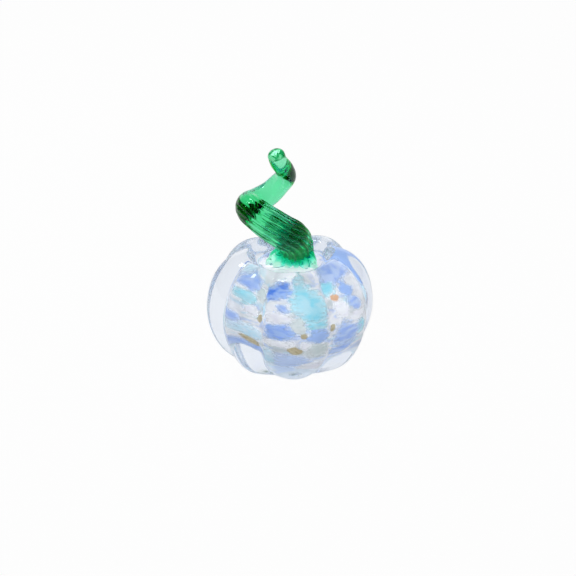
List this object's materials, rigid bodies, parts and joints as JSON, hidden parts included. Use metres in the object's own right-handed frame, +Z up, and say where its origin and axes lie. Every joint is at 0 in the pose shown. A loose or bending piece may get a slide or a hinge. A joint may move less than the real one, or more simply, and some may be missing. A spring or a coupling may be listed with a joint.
{
  "type": "glass pumpkin ornament",
  "caption": "Blown glass pumpkin ornament: a ribbed clear casing over a hollow core flecked with blue and turquoise glass chips, with a twisted green glass stem.",
  "frame": {"origin": "centre of the flat base, on the surface that the pumpkin stands on", "axes": "+Z up, along the axis of the ribbed body; -Y is the front that the picture shows; +X is to the right as seen from there"},
  "size_m": [0.0792, 0.0798, 0.1094],
  "materials": {
    "clear_glass": "clear, fire polished",
    "core_glass": "clear with a milky veil",
    "green_glass": "transparent, ribbed and twisted",
    "deep_blue_glass": "stretched chip, soft edges",
    "periwinkle_glass": "stretched chip, soft edges",
    "turquoise_glass": "stretched chip, soft edges",
    "sky_glass": "stretched chip, soft edges",
    "white_glass": "stretched chip, soft edges",
    "sage_glass": "stretched chip, soft edges",
    "copper": "glittering metal flecks"
  },
  "bodies": {
    "root": {"clear_casing": "clear_glass", "core_bubble": "core_glass", "stem": "green_glass", "deep_blue_chip_1": "deep_blue_glass", "deep_blue_chip_2": "deep_blue_glass", "deep_blue_chip_3": "deep_blue_glass", "deep_blue_chip_4": "deep_blue_glass", "deep_blue_chip_5": "deep_blue_glass", "deep_blue_chip_6": "deep_blue_glass", "deep_blue_chip_7": "deep_blue_glass", "deep_blue_chip_8": "deep_blue_glass", "periwinkle_chip_1": "periwinkle_glass", "periwinkle_chip_2": "periwinkle_glass", "periwinkle_chip_3": "periwinkle_glass", "periwinkle_chip_4": "periwinkle_glass", "periwinkle_chip_5": "periwinkle_glass", "periwinkle_chip_6": "periwinkle_glass", "periwinkle_chip_7": "periwinkle_glass", "periwinkle_chip_8": "periwinkle_glass", "periwinkle_chip_9": "periwinkle_glass", "periwinkle_chip_10": "periwinkle_glass", "periwinkle_chip_11": "periwinkle_glass", "periwinkle_chip_12": "periwinkle_glass", "turquoise_chip_1": "turquoise_glass", "turquoise_chip_2": "turquoise_glass", "turquoise_chip_3": "turquoise_glass", "turquoise_chip_4": "turquoise_glass", "turquoise_chip_5": "turquoise_glass", "turquoise_chip_6": "turquoise_glass", "turquoise_chip_7": "turquoise_glass", "turquoise_chip_8": "turquoise_glass", "turquoise_chip_9": "turquoise_glass", "sky_chip_1": "sky_glass", "sky_chip_2": "sky_glass", "sky_chip_3": "sky_glass", "sky_chip_4": "sky_glass", "sky_chip_5": "sky_glass", "sky_chip_6": "sky_glass", "sky_chip_7": "sky_glass", "white_chip_1": "white_glass", "white_chip_2": "white_glass", "white_chip_3": "white_glass", "white_chip_4": "white_glass", "white_chip_5": "white_glass", "white_chip_6": "white_glass", "white_chip_7": "white_glass", "white_chip_8": "white_glass", "white_chip_9": "white_glass", "sage_chip_1": "sage_glass", "sage_chip_2": "sage_glass", "sage_chip_3": "sage_glass", "sage_chip_4": "sage_glass", "sage_chip_5": "sage_glass", "copper_fleck_1": "copper", "copper_fleck_2": "copper", "copper_fleck_3": "copper", "copper_fleck_4": "copper", "copper_fleck_5": "copper", "copper_fleck_6": "copper"}
  },
  "joints": []
}
